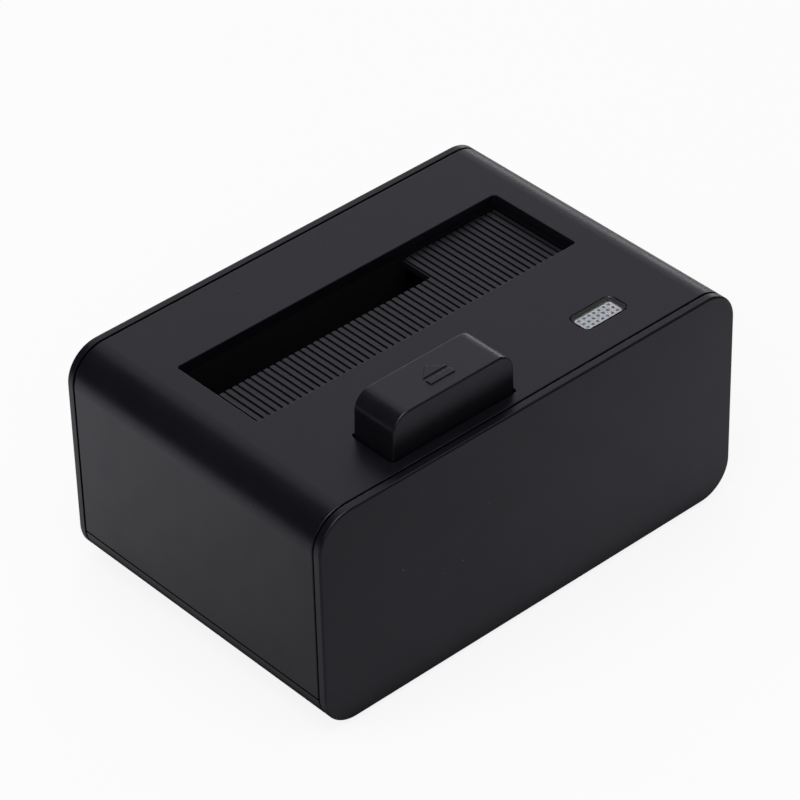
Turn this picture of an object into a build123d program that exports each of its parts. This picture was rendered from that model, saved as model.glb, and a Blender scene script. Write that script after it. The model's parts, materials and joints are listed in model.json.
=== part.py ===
"""Hard drive docking station with one bay, in millimetres.

X runs to the right seen from the front, Y runs to the rear and Z runs up. The origin is on the
surface that the station stands on, at the middle of its outline. A drive goes in from above and
stands on the socket in the bay; the two ends of the case are separate plates.
"""

import os
from math import cos, radians, sin, sqrt, tan

from build123d import *

os.makedirs("parts", exist_ok=True)

# Driving dimensions: the drives that go in
drive_width = 101.6
drive_thickness = 26.1
small_drive_width = 69.85
small_drive_thickness = 9.5
drive_side_play = 1.2
small_drive_side_play = 0.15
small_drive_depth_play = 2.3
flap_room = 3.2

# Driving dimensions: the case around the slot
side_margin = 15.7
front_margin = 39.5
rear_margin = 23.2
case_height = 62.8
corner_radius = 9.5
wall = 2.2
plate_thickness = 2.1
plate_edge_radius = 0.55
plate_gap = 0.6
edge_break = 0.25
seam_height = 9.4
seam_gap = 0.5
foot_height = 1.2

# Clearances, and how far a cut runs past what it cuts
fit_gap = 0.2
slide_gap = 0.3
pin_gap = 0.05
overrun = 1.0

# The rocker of the power switch stands out furthest at the rear
rocker_half_length = 4.5
rocker_tilt = 14
rocker_face_depth = 3.1
bezel_proud = 1.2
rocker_proud = 2 * rocker_half_length * sin(radians(rocker_tilt))
rear_reach = bezel_proud + rocker_proud

# Outline of the slot and the case
slot_length = drive_width + 2 * drive_side_play
slot_depth = drive_thickness + flap_room
slot_half = slot_length / 2
case_width = slot_length + 2 * side_margin
case_depth = front_margin + slot_depth + rear_margin
front_face = -(case_depth + rear_reach) / 2
rear_face = front_face + case_depth
slot_front = front_face + front_margin
slot_rear = slot_front + slot_depth
shell_front = front_face + plate_thickness + plate_gap
shell_rear = rear_face - plate_thickness - plate_gap

# Levels, from the standing surface up to the top
case_bottom = foot_height
case_top = case_bottom + case_height
case_middle = case_bottom + case_height / 2
cover_under = case_top - wall
seam = case_bottom + seam_height
tray_floor = case_bottom + wall

# The flap's hinge, and the board that stands clear of the open flap
lip_depth = 3.0
lip_wall = 1.6
slot_corner_radius = 0.8
barrel_radius = 1.4
hinge_inset = 1.1
tab_reach = 0.8
board_clearance = 2.5
board_thickness = 1.6
lip_under = case_top - lip_depth
flap_top = lip_under - slide_gap
hinge_y = slot_front + hinge_inset
hinge_z = flap_top - barrel_radius
flap_reach = slot_rear + tab_reach - hinge_y
board_top = hinge_z - flap_reach - board_clearance
board_under = board_top - board_thickness

# The drive socket on the board, under the rear of the slot
sata_length = 43.0
sata_width = 6.0
sata_height = 8.6
sata_proud = 2.0
sata_edge = 28.8
sata_setback = 5.0
sata_x = sata_edge - drive_width / 2
sata_y = slot_rear - sata_setback
sata_top = board_top + sata_height

# The bay that guides the drive down to the socket
bay_wall = 1.6
flap_pocket = 1.2
bay_half = slot_half + fit_gap
bay_rear = slot_rear + fit_gap
bay_front = hinge_y - barrel_radius - flap_pocket
bay_top = lip_under - fit_gap
bay_floor = sata_top - sata_proud
bay_floor_under = bay_floor - bay_wall
ear_reach = 4.7
ear_half = 3.2
ear_thickness = 2.0
ear_drop = 10.6
ear_inset = 7.0
ear_x = bay_half + bay_wall + ear_reach
ear_top = cover_under - ear_drop
ear_places = [(side * ear_x, y) for side in (-1, 1) for y in (slot_front + ear_inset, slot_rear - ear_inset)]

# The eject button in front of the slot
button_length = 38.9
button_depth = 13.7
button_rise = 12.0
button_draft = 0.5
button_gap = 0.4
button_end_radius = 5.0
button_edge_radius = 0.5
button_wall = 1.8
button_travel = 6.0
button_left = 28.5
button_setback = 13.15
flange_reach = 1.2
flange_thickness = 1.2
button_x = button_left + button_length / 2 - case_width / 2
button_y = front_face + button_setback
button_top = case_top + button_rise
button_inner_top = button_top - button_wall
flange_top = cover_under - slide_gap
flange_bottom = flange_top - flange_thickness

# The plate that guides the button, hung on two bosses of the cover
guide_thickness = 2.0
guide_depth = 14.0
guide_clearance = 0.6
guide_boss_spread = 52.0
guide_tube_length = 8.0
guide_tube_wall = 1.6
guide_top = flange_bottom - button_travel - guide_clearance
guide_under = guide_top - guide_thickness
guide_places = [(button_x + side * guide_boss_spread / 2, button_y) for side in (-1, 1)]

# The lever that lifts the drive when the button goes down
lever_clearance = 1.2
lever_thickness = 2.4
lever_bar_depth = 7.0
arm_width = 4.0
arm_gap = 2.4
finger_depth = 6.0
hub_radius = 2.2
lever_pin_radius = 1.2
lug_width = 2.2
lug_radius = 2.6
lever_bottom = board_top + lever_clearance
lever_top = lever_bottom + lever_thickness
pivot_y = bay_front - bay_wall
pivot_z = lever_bottom + lever_thickness / 2
arm_offset = sata_length / 2 + arm_gap + arm_width / 2
arm_places = (sata_x - arm_offset, sata_x + arm_offset)
finger_front = sata_y - finger_depth / 2
finger_rear = sata_y + finger_depth / 2

# The indicator window to the right of the button
window_length = 14.5
window_depth = 7.2
window_radius = 2.0
window_right = 24.85
window_setback = 14.8
lens_flange_reach = 0.8
lens_flange_thickness = 0.8
lens_skin = 1.4
sleeve_wall = 1.2
sleeve_length = 10.0
window_x = case_width / 2 - window_right - window_length / 2
window_y = front_face + window_setback
lens_length = window_length - 2 * fit_gap
lens_depth = window_depth - 2 * fit_gap
seat_length = window_length + 2 * lens_flange_reach
seat_depth = window_depth + 2 * lens_flange_reach

# Screws
screw_radius = 1.3
screw_head_radius = 2.4
screw_head_height = 1.5
recess_width = 0.7
recess_share = 0.6
pilot_radius = screw_radius + pin_gap
clearance_radius = screw_radius + slide_gap

# Bosses of the cover that the base screws reach
boss_radius = 3.5
small_boss_radius = 3.0
boss_side_inset = 12.2
boss_end_inset = 10.0
boss_bottom_height = 5.2
pilot_depth = 12.0
boss_bottom = case_bottom + boss_bottom_height
boss_places = [
    (side * (case_width / 2 - boss_side_inset), y)
    for side in (-1, 1)
    for y in (front_face + boss_end_inset, rear_face - boss_end_inset)
]

# The main board, cut away in front for the lever
board_side_gap = 2.0
board_rear_gap = 0.7
board_wing_gap = 8.0
board_wing_left = 49.7
post_radius = 3.0
post_side_inset = 6.0
post_end_inset = 10.0
post_front_inset = 5.0
board_half = case_width / 2 - boss_side_inset - boss_radius - board_side_gap
board_front = pivot_y + lug_radius + pin_gap + overrun
board_rear = rear_face - plate_thickness - board_rear_gap
wing_left = case_width / 2 - board_wing_left
post_places = [
    (-board_half + post_side_inset, rear_face - post_end_inset),
    (board_half - post_side_inset, rear_face - post_end_inset),
    (sata_x, board_front + post_front_inset),
    (board_half - post_side_inset, window_y),
]


def upright(y):
    """A plane across the case at this depth, with X to the right and Z up."""
    return Plane.XZ.offset(-y)


def around(centre, size):
    """The two limits of a size laid evenly about a centre."""
    return (centre - size / 2, centre + size / 2)


def block(xs, ys, zs, mode=Mode.ADD):
    """A box between three pairs of limits, in the part that is being built."""
    with Locations((sum(xs) / 2, sum(ys) / 2, sum(zs) / 2)):
        Box(xs[1] - xs[0], ys[1] - ys[0], zs[1] - zs[0], mode=mode)


def rod(centre, radius, length, mode=Mode.ADD, rotation=(0, 0, 0)):
    """A cylinder about a centre, upright unless it is turned."""
    with Locations(centre):
        Cylinder(radius, length, rotation=rotation, mode=mode)


def columns(places, radius, low, high, mode=Mode.ADD):
    """Upright cylinders of one radius between two levels."""
    with Locations(*[(x, y, (low + high) / 2) for x, y in places]):
        Cylinder(radius, high - low, mode=mode)


def screws(places, seat, length, up):
    """Screws with crossed recesses, whose heads bear on the seat level."""
    way = 1 if up else -1
    head_end = seat - way * screw_head_height
    recess_end = head_end + way * screw_head_height * recess_share
    columns(places, screw_radius, *sorted((seat, seat + way * length)))
    columns(places, screw_head_radius, *sorted((seat, head_end)))
    for x, y in places:
        arm = screw_head_radius
        block(around(x, arm), around(y, recess_width), sorted((head_end, recess_end)), Mode.SUBTRACT)
        block(around(x, recess_width), around(y, arm), sorted((head_end, recess_end)), Mode.SUBTRACT)


def keep(piece, name):
    """Labels a finished piece and writes it to its file."""
    piece.part.label = name
    export_step(piece.part, f"parts/{name}.step")


# Top cover: the top and both sides in one shell, with the slot's lip and the bosses inside
with BuildPart() as top_cover:
    with BuildSketch(upright(shell_front)):
        with Locations((0, case_middle)):
            RectangleRounded(case_width, case_height, corner_radius)
    extrude(amount=shell_front - shell_rear)
    fillet(top_cover.faces().filter_by(Axis.Y).edges(), edge_break)
    with BuildSketch(upright(shell_front - overrun)):
        with Locations((0, case_middle)):
            RectangleRounded(case_width - 2 * wall, case_height - 2 * wall, corner_radius - wall)
        with Locations((0, seam - (seam_height + overrun) / 2)):
            Rectangle(case_width + overrun, seam_height + overrun)
    extrude(amount=shell_front - shell_rear - 2 * overrun, mode=Mode.SUBTRACT)
    roots = cover_under + wall / 2
    columns(boss_places, boss_radius, boss_bottom, roots)
    columns(ear_places, small_boss_radius, ear_top, roots)
    columns(guide_places, small_boss_radius, guide_top, roots)
    block(
        around(window_x, seat_length + 2 * (fit_gap + sleeve_wall)),
        around(window_y, seat_depth + 2 * (fit_gap + sleeve_wall)),
        (cover_under - sleeve_length, roots),
    )
    block(
        around(window_x, seat_length + 2 * fit_gap),
        around(window_y, seat_depth + 2 * fit_gap),
        (cover_under - sleeve_length - overrun, cover_under),
        Mode.SUBTRACT,
    )
    block(
        around(0, slot_length + 2 * lip_wall),
        (slot_front - lip_wall, slot_rear + lip_wall),
        (lip_under, roots),
    )
    with BuildSketch(Plane.XY.offset(lip_under - overrun)):
        with Locations((0, (slot_front + slot_rear) / 2)):
            RectangleRounded(slot_length, slot_depth, slot_corner_radius)
    extrude(amount=case_top - lip_under + 2 * overrun, mode=Mode.SUBTRACT)
    with BuildSketch(Plane.XY.offset(case_top)):
        with Locations((window_x, window_y)):
            RectangleRounded(window_length, window_depth, window_radius)
        with Locations((button_x, button_y)):
            RectangleRounded(
                button_length + 2 * button_gap, button_depth + 2 * button_gap, 2 * button_gap
            )
    extrude(amount=-(wall + overrun), mode=Mode.SUBTRACT)
    fillet(top_cover.faces().sort_by(Axis.Z)[-1].inner_wires().edges(), edge_break)
    columns(boss_places, pilot_radius, boss_bottom, boss_bottom + pilot_depth, Mode.SUBTRACT)
    columns(ear_places, pilot_radius, ear_top, cover_under - pin_gap, Mode.SUBTRACT)
    columns(guide_places, pilot_radius, guide_top, cover_under - pin_gap, Mode.SUBTRACT)
keep(top_cover, "top_cover")

# Base tray: closes the case below and carries the board on four posts
foot_radius = 5.5
foot_seat_depth = 0.8
foot_side_inset = 21.7
foot_end_inset = 14.0
foot_chamfer = 0.4
counterbore_depth = 3.0
tray_post_radius = 4.5
tray_lip = 1.4
tray_lip_rise = 3.0
tray_lip_end_gap = 8.0
label_length = 60.0
label_depth = 30.0
label_sink = 0.3
label_radius = 2.0
foot_places = [
    (side * (case_width / 2 - foot_side_inset), y)
    for side in (-1, 1)
    for y in (front_face + foot_end_inset, rear_face - foot_end_inset)
]
screw_seat = case_bottom + counterbore_depth
with BuildPart() as base_tray:
    with BuildSketch(upright(shell_front)):
        with Locations((0, case_middle)):
            RectangleRounded(case_width, case_height, corner_radius)
    extrude(amount=shell_front - shell_rear)
    fillet(base_tray.faces().filter_by(Axis.Y).edges(), edge_break)
    with BuildSketch(upright(shell_front - overrun)):
        with Locations((0, case_middle)):
            RectangleRounded(case_width - 2 * wall, case_height - 2 * wall, corner_radius - wall)
        with Locations((0, seam - seam_gap + case_height / 2)):
            Rectangle(case_width, case_height)
    extrude(amount=shell_front - shell_rear - 2 * overrun, mode=Mode.SUBTRACT)
    for side in (-1, 1):
        block(
            around(side * (case_width / 2 - wall - fit_gap - tray_lip / 2), tray_lip),
            (shell_front + tray_lip_end_gap, shell_rear - tray_lip_end_gap),
            (seam - wall, seam + tray_lip_rise),
        )
    columns(boss_places, tray_post_radius, tray_floor - wall / 2, boss_bottom)
    columns(post_places, post_radius, tray_floor - wall / 2, board_under)
    columns(boss_places, screw_head_radius + slide_gap, case_bottom - overrun, screw_seat, Mode.SUBTRACT)
    columns(boss_places, clearance_radius, case_bottom, boss_bottom + overrun, Mode.SUBTRACT)
    columns(post_places, pilot_radius, board_under - pilot_depth, board_under + overrun, Mode.SUBTRACT)
    foot_seat = case_bottom + foot_seat_depth
    columns(foot_places, foot_radius + fit_gap, case_bottom - overrun, foot_seat, Mode.SUBTRACT)
    with BuildSketch(Plane.XY.offset(case_bottom)):
        with Locations((0, (shell_front + shell_rear) / 2)):
            RectangleRounded(label_length, label_depth, label_radius)
    extrude(amount=label_sink, mode=Mode.SUBTRACT)
keep(base_tray, "base_tray")

# Four rubber feet pressed into the tray
with BuildPart() as rubber_feet:
    columns(foot_places, foot_radius, 0, foot_seat)
    chamfer(rubber_feet.edges().group_by(Axis.Z)[0], foot_chamfer)
keep(rubber_feet, "rubber_feet")

# Four screws from below hold the tray to the cover
base_screw_length = 10.0
with BuildPart() as base_screws:
    screws(boss_places, screw_seat, base_screw_length, up=True)
keep(base_screws, "base_screws")

# End plates: rounded plates with a softened rim, located by a frame inside the shells
rim_wall = 1.5
rim_depth = 2.5
rim_inset = wall + fit_gap
with BuildPart() as front_plate:
    with BuildSketch(upright(front_face)):
        with Locations((0, case_middle)):
            RectangleRounded(case_width, case_height, corner_radius)
    extrude(amount=-plate_thickness)
    fillet(front_plate.faces().sort_by(Axis.Y)[0].edges(), plate_edge_radius)
    with BuildSketch(upright(front_face + plate_thickness)):
        with Locations((0, case_middle)):
            RectangleRounded(
                case_width - 2 * rim_inset, case_height - 2 * rim_inset, corner_radius - rim_inset
            )
            RectangleRounded(
                case_width - 2 * (rim_inset + rim_wall),
                case_height - 2 * (rim_inset + rim_wall),
                corner_radius - rim_inset - rim_wall,
                mode=Mode.SUBTRACT,
            )
    extrude(amount=-rim_depth)
keep(front_plate, "front_plate")

# Sizes of what shows in the rear plate; all of it stands on the board
port_sink = 0.1
usb_width = 12.5
usb_height = 12.4
usb_depth = 17.0
usb_left = 71.4
jack_width = 9.3
jack_height = 10.9
jack_depth = 13.5
jack_left = 56.1
bezel_width = 10.8
bezel_height = 16.0
bezel_lift = 0.1
bezel_left = 39.5
switch_body_width = 8.6
switch_body_height = 13.8
switch_body_depth = 11.0
usb_x = usb_left + usb_width / 2 - case_width / 2
jack_x = jack_left + jack_width / 2 - case_width / 2
switch_x = bezel_left + bezel_width / 2 - case_width / 2
switch_z = board_top + bezel_lift + bezel_height / 2
port_face = rear_face - port_sink
with BuildPart() as rear_plate:
    with BuildSketch(upright(rear_face)):
        with Locations((0, case_middle)):
            RectangleRounded(case_width, case_height, corner_radius)
    extrude(amount=plate_thickness)
    fillet(rear_plate.faces().sort_by(Axis.Y)[-1].edges(), plate_edge_radius)
    with BuildSketch(upright(rear_face - plate_thickness)):
        with Locations((0, case_middle)):
            RectangleRounded(
                case_width - 2 * rim_inset, case_height - 2 * rim_inset, corner_radius - rim_inset
            )
            RectangleRounded(
                case_width - 2 * (rim_inset + rim_wall),
                case_height - 2 * (rim_inset + rim_wall),
                corner_radius - rim_inset - rim_wall,
                mode=Mode.SUBTRACT,
            )
    extrude(amount=rim_depth)
    with BuildSketch(upright(rear_face + overrun)):
        with Locations((usb_x, board_top + usb_height / 2)):
            Rectangle(usb_width + 2 * fit_gap, usb_height + 2 * fit_gap)
        with Locations((jack_x, board_top + jack_height / 2)):
            Rectangle(jack_width + 2 * fit_gap, jack_height + 2 * fit_gap)
        with Locations((switch_x, switch_z)):
            Rectangle(switch_body_width + 2 * fit_gap, switch_body_height + 2 * fit_gap)
    extrude(amount=plate_thickness + 2 * overrun, mode=Mode.SUBTRACT)
keep(rear_plate, "rear_plate")

# The flap over the slot, shared sizes
flap_thickness = 1.8
flap_end_gap = 1.4
flap_rear_gap = 1.4
hinge_rod_radius = 0.75
groove_pitch = 1.975
groove_width = 0.75
groove_sink = 0.5
tab_width = 6.0
tab_drop = 1.2
tab_thickness = 1.2
flap_half = slot_half - flap_end_gap
flap_rear = slot_rear - flap_rear_gap
flap_under = flap_top - flap_thickness
cutout_x = small_drive_width + small_drive_side_play + drive_side_play - slot_half
cutout_y = slot_rear - small_drive_thickness - small_drive_depth_play
groove_count = 2 * int((flap_half - groove_width) / groove_pitch) + 1
tab_inset_share = 0.2
wide_part = flap_half - cutout_x
tab_places = (cutout_x + wide_part * tab_inset_share, flap_half - wide_part * tab_inset_share)

# Torsion springs of the flap, one at each end of the rod
spring_wire = 0.2
flap_spring_radius = hinge_rod_radius + pin_gap + spring_wire
flap_spring_turns = 4
flap_spring_pitch = 0.5
flap_spring_leg = 6.5
flap_spring_hook = 1.6
flap_neck_inset = 1.2
spring_leg_z = hinge_z - flap_spring_radius
flap_neck = flap_half - flap_neck_inset
neck_rear = hinge_y + flap_spring_radius + spring_wire + slide_gap

# Drive bay: four walls and a floor, with openings for the socket, the lever and the flap's edge
window_gap = 0.4
tab_leave = sqrt(flap_reach**2 - (bay_rear - slide_gap - hinge_y) ** 2)
tab_window = (hinge_z - tab_leave - tab_drop - tab_thickness, flap_top - tab_drop + slide_gap)
flap_sweep = sqrt(flap_reach**2 - (hinge_z - bay_floor) ** 2) + window_gap
lever_pocket_rear = finger_rear + window_gap
with BuildPart() as drive_bay:
    block(
        around(0, 2 * (bay_half + bay_wall)),
        (bay_front - bay_wall, bay_rear + bay_wall),
        (bay_floor_under, bay_top),
    )
    block(around(0, 2 * bay_half), (bay_front, bay_rear), (bay_floor, bay_top + overrun), Mode.SUBTRACT)
    for side in (-1, 1):
        ear_root = side * (bay_half + bay_wall / 2)
        ear_end = side * (ear_x + ear_half)
        for y in (slot_front + ear_inset, slot_rear - ear_inset):
            block(sorted((ear_root, ear_end)), around(y, 2 * ear_half), (ear_top - ear_thickness, ear_top))
    columns(ear_places, clearance_radius, ear_top - ear_thickness - overrun, ear_top + overrun, Mode.SUBTRACT)
    for x, way in zip(arm_places, (1, -1)):
        inner = x + way * (arm_width / 2 + slide_gap)
        lug = sorted((inner, inner + way * lug_width))
        block(lug, around(pivot_y, 2 * lug_radius), (pivot_z, bay_floor_under + bay_wall / 2))
        rod((sum(lug) / 2, pivot_y, pivot_z), lug_radius, lug_width, rotation=(0, 90, 0))
        rod(
            (sum(lug) / 2, pivot_y, pivot_z),
            lever_pin_radius + pin_gap,
            lug_width + overrun,
            Mode.SUBTRACT,
            rotation=(0, 90, 0),
        )
        block(
            around(x, arm_width + 2 * window_gap),
            (bay_front, lever_pocket_rear),
            (bay_floor_under - overrun, bay_floor + overrun),
            Mode.SUBTRACT,
        )
    block(
        around(sata_x, sata_length + 2 * window_gap),
        around(sata_y, sata_width + 2 * window_gap),
        (bay_floor_under - overrun, bay_floor + overrun),
        Mode.SUBTRACT,
    )
    block(
        (cutout_x - window_gap, flap_half + window_gap),
        (bay_front, hinge_y + flap_sweep),
        (bay_floor_under - overrun, bay_floor + overrun),
        Mode.SUBTRACT,
    )
    for x in tab_places:
        block(
            around(x, tab_width + 2 * window_gap),
            (bay_rear - overrun, bay_rear + bay_wall + overrun),
            tab_window,
            Mode.SUBTRACT,
        )
    for side in (-1, 1):
        wall_middle = side * (bay_half + bay_wall / 2)
        block(
            around(wall_middle, bay_wall + fit_gap),
            around(hinge_y, 2 * (hinge_rod_radius + pin_gap)),
            (hinge_z, bay_top + overrun),
            Mode.SUBTRACT,
        )
        rod(
            (wall_middle, hinge_y, hinge_z),
            hinge_rod_radius + pin_gap,
            bay_wall + fit_gap,
            Mode.SUBTRACT,
            rotation=(0, 90, 0),
        )
        leg_x = side * (bay_half + flap_neck) / 2
        block(
            around(leg_x, bay_half - flap_neck),
            around(bay_front - bay_wall / 2, bay_wall + overrun),
            around(spring_leg_z, 2 * (spring_wire + pin_gap)),
            Mode.SUBTRACT,
        )
keep(drive_bay, "drive_bay")

# Four screws hang the bay under the cover
bay_screw_length = 9.0
with BuildPart() as bay_screws:
    screws(ear_places, ear_top - ear_thickness, bay_screw_length, up=True)
keep(bay_screws, "bay_screws")

# Flap: a grooved door along the slot, cut out at the rear left for the small drive
with BuildPart() as drive_flap:
    with BuildSketch(Plane.XY.offset(flap_under)):
        with BuildLine():
            Polyline(
                (-flap_neck, hinge_y),
                (flap_neck, hinge_y),
                (flap_neck, neck_rear),
                (flap_half, neck_rear),
                (flap_half, flap_rear),
                (cutout_x, flap_rear),
                (cutout_x, cutout_y),
                (-flap_half, cutout_y),
                (-flap_half, neck_rear),
                (-flap_neck, neck_rear),
                close=True,
            )
        make_face()
    extrude(amount=flap_thickness)
    rod((0, hinge_y, hinge_z), barrel_radius, 2 * flap_neck, rotation=(0, 90, 0))
    for x in tab_places:
        block(
            around(x, tab_width),
            (flap_rear - overrun, slot_rear + tab_reach),
            (flap_top - tab_drop - tab_thickness, flap_top - tab_drop),
        )
    with BuildSketch(Plane.XY.offset(flap_top)):
        with Locations((0, (hinge_y + slot_rear) / 2)):
            with GridLocations(groove_pitch, 0, groove_count, 1):
                Rectangle(groove_width, slot_rear - hinge_y)
    extrude(amount=-groove_sink, mode=Mode.SUBTRACT)
    rod(
        (0, hinge_y, hinge_z),
        hinge_rod_radius + pin_gap,
        2 * flap_neck + overrun,
        Mode.SUBTRACT,
        rotation=(0, 90, 0),
    )
keep(drive_flap, "drive_flap")

# Steel rod that the flap turns on, held in notches of the bay's end walls
with BuildPart() as flap_hinge_rod:
    rod((0, hinge_y, hinge_z), hinge_rod_radius, 2 * (bay_half + bay_wall) - fit_gap, rotation=(0, 90, 0))
keep(flap_hinge_rod, "flap_hinge_rod")


# Each torsion spring stands between the flap's end and the bay's end wall: its moving leg hooks under
# the flap and its fixed leg enters a notch of the bay
coil_length = flap_spring_turns * flap_spring_pitch
coil_spare = (bay_half - flap_neck - coil_length) / 2
moving_x = -flap_neck - coil_spare
fixed_x = -bay_half + coil_spare
moving_end = hinge_y + flap_spring_leg
fixed_end = bay_front - bay_wall
with BuildPart() as flap_spring_left:
    with BuildLine() as coil:
        Helix(
            flap_spring_pitch,
            coil_length,
            flap_spring_radius,
            center=(moving_x, hinge_y, hinge_z),
            direction=(-1, 0, 0),
        )
    with BuildSketch(Plane(coil.line @ 0, z_dir=coil.line % 0)):
        Circle(spring_wire)
    sweep(path=coil.line, is_frenet=True)
    for x, end in ((moving_x, moving_end), (fixed_x, fixed_end)):
        leg_length = abs(end - hinge_y)
        rod((x, (hinge_y + end) / 2, spring_leg_z), spring_wire, leg_length, rotation=(90, 0, 0))
    hook_middle = moving_x + flap_spring_hook / 2
    rod((hook_middle, moving_end, spring_leg_z), spring_wire, flap_spring_hook, rotation=(0, 90, 0))
keep(flap_spring_left, "flap_spring_left")

with BuildPart() as flap_spring_right:
    add(mirror(flap_spring_left.part, about=Plane.YZ))
keep(flap_spring_right, "flap_spring_right")

# Eject button: a hollow cap with a stem, two spring posts and a sunk eject mark
stem_length = 8.0
stem_depth = 6.0
stem_rib = 1.8
spring_post_radius = 2.0
spring_post_length = 5.0
mark_width = 7.6
mark_rise = 3.6
mark_gap = 1.0
mark_bar = 1.85
mark_proud = 0.3
mark_break = 0.15
coil_wire = 0.35
coil_radius = 2.9
coil_turns = 8
hollow_half = button_length / 2 - button_wall - button_draft
hollow_radius = button_end_radius - button_wall
spring_offset = hollow_half - hollow_radius - coil_radius - coil_wire - fit_gap
spring_places = [(button_x + side * spring_offset, button_y) for side in (-1, 1)]
with BuildPart() as eject_button:
    with BuildSketch(upright(button_y - button_depth / 2)) as cap_outline:
        with BuildLine():
            Polyline(
                (button_x - button_length / 2, flange_bottom),
                (button_x + button_length / 2, flange_bottom),
                (button_x + button_length / 2 - button_draft, button_top),
                (button_x - button_length / 2 + button_draft, button_top),
                close=True,
            )
        make_face()
        fillet(cap_outline.vertices().group_by(Axis.Y)[-1], button_end_radius)
    extrude(amount=-button_depth)
    cap_faces = eject_button.faces().filter_by(Axis.Y)
    fillet([edge for edge in cap_faces.edges() if edge.center().Z > flange_top], button_edge_radius)
    block(
        around(button_x, button_length + 2 * flange_reach),
        around(button_y, button_depth + 2 * flange_reach),
        (flange_bottom, flange_top),
    )
    with BuildSketch(upright(button_y - button_depth / 2 + button_wall)) as hollow_outline:
        with Locations((button_x, (flange_bottom + button_inner_top) / 2)):
            Rectangle(2 * hollow_half, button_inner_top - flange_bottom)
        fillet(hollow_outline.vertices().group_by(Axis.Y)[-1], hollow_radius)
    extrude(amount=2 * button_wall - button_depth, mode=Mode.SUBTRACT)
    stem_low = lever_top + slide_gap
    block(around(button_x, stem_length), around(button_y, stem_rib), (stem_low, button_inner_top + pin_gap))
    block(around(button_x, stem_rib), around(button_y, stem_depth), (stem_low, button_inner_top + pin_gap))
    columns(
        spring_places, spring_post_radius, button_inner_top - spring_post_length, button_inner_top + pin_gap
    )
    mark_low = button_y - (mark_rise + mark_gap + mark_bar) / 2
    mark_base = mark_low + mark_bar + mark_gap
    with BuildSketch(Plane.XY.offset(button_top)):
        with BuildLine():
            Polyline(
                (button_x - mark_width / 2, mark_base),
                (button_x + mark_width / 2, mark_base),
                (button_x, mark_base + mark_rise),
                close=True,
            )
        make_face()
        with Locations((button_x, mark_low + mark_bar / 2)):
            Rectangle(mark_width, mark_bar)
    extrude(amount=mark_proud)
    fillet(eject_button.faces().group_by(Axis.Z)[-1].edges(), mark_break)
keep(eject_button, "eject_button")

# Guide plate under the button, with a tube round the stem and two spring seats
guide_length = guide_boss_spread + 2 * small_boss_radius
with BuildPart() as button_guide:
    block(around(button_x, guide_length), around(button_y, guide_depth), (guide_under, guide_top))
    tube_length = stem_length + 2 * (slide_gap + guide_tube_wall)
    tube_depth = stem_depth + 2 * (slide_gap + guide_tube_wall)
    block(
        around(button_x, tube_length),
        around(button_y, tube_depth),
        (guide_under - guide_tube_length, guide_under),
    )
    columns(spring_places, spring_post_radius, guide_top, guide_top + spring_post_length)
    block(
        around(button_x, stem_length + 2 * slide_gap),
        around(button_y, stem_depth + 2 * slide_gap),
        (guide_under - guide_tube_length - overrun, guide_top + overrun),
        Mode.SUBTRACT,
    )
    columns(guide_places, clearance_radius, guide_under - overrun, guide_top + overrun, Mode.SUBTRACT)
keep(button_guide, "button_guide")

# Two screws hold the guide plate to its bosses
guide_screw_length = 7.0
with BuildPart() as guide_screws:
    screws(guide_places, guide_under, guide_screw_length, up=True)
keep(guide_screws, "guide_screws")

# Return springs of the button
for spring_name, (x, y) in zip(("button_spring_left", "button_spring_right"), spring_places):
    low = guide_top + coil_wire + pin_gap
    high = button_inner_top - coil_wire - pin_gap
    with BuildPart() as button_spring:
        with BuildLine(Plane((x, y, low))) as coil:
            Helix((high - low) / coil_turns, high - low, coil_radius)
        with BuildSketch(Plane(coil.line @ 0, z_dir=coil.line % 0)):
            Circle(coil_wire)
        sweep(path=coil.line, is_frenet=True)
    keep(button_spring, spring_name)

# Eject lever: a bar under the button's stem and two arms whose fingers lift the drive
finger_top = bay_floor - slide_gap
with BuildPart() as eject_lever:
    block(
        (arm_places[0] - arm_width / 2, arm_places[1] + arm_width / 2),
        around(button_y, lever_bar_depth),
        (lever_bottom, lever_top),
    )
    for x in arm_places:
        block(around(x, arm_width), (button_y, finger_rear), (lever_bottom, lever_top))
        block(around(x, arm_width), (finger_front, finger_rear), (lever_bottom, finger_top))
        rod((x, pivot_y, pivot_z), hub_radius, arm_width, rotation=(0, 90, 0))
        rod(
            (x, pivot_y, pivot_z),
            lever_pin_radius + pin_gap,
            arm_width + overrun,
            Mode.SUBTRACT,
            rotation=(0, 90, 0),
        )
keep(eject_lever, "eject_lever")

# Pin that the lever turns on, with a head at the right and a push-on clip at the left
pin_head_radius = 2.0
pin_head_thickness = 0.8
pin_overhang = 0.6
clip_radius = 1.9
clip_thickness = 0.5
pin_left = arm_places[0] - arm_width / 2 - fit_gap - clip_thickness - pin_overhang
pin_right = arm_places[1] + arm_width / 2 + fit_gap
with BuildPart() as lever_pin:
    rod(
        ((pin_left + pin_right) / 2, pivot_y, pivot_z),
        lever_pin_radius,
        pin_right - pin_left,
        rotation=(0, 90, 0),
    )
    rod(
        (pin_right + pin_head_thickness / 2, pivot_y, pivot_z),
        pin_head_radius,
        pin_head_thickness,
        rotation=(0, 90, 0),
    )
keep(lever_pin, "lever_pin")

clip_x = pin_left + pin_overhang + clip_thickness / 2
with BuildPart() as lever_pin_clip:
    rod((clip_x, pivot_y, pivot_z), clip_radius, clip_thickness, rotation=(0, 90, 0))
    rod(
        (clip_x, pivot_y, pivot_z),
        lever_pin_radius + pin_gap,
        clip_thickness + overrun,
        Mode.SUBTRACT,
        rotation=(0, 90, 0),
    )
keep(lever_pin_clip, "lever_pin_clip")

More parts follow.
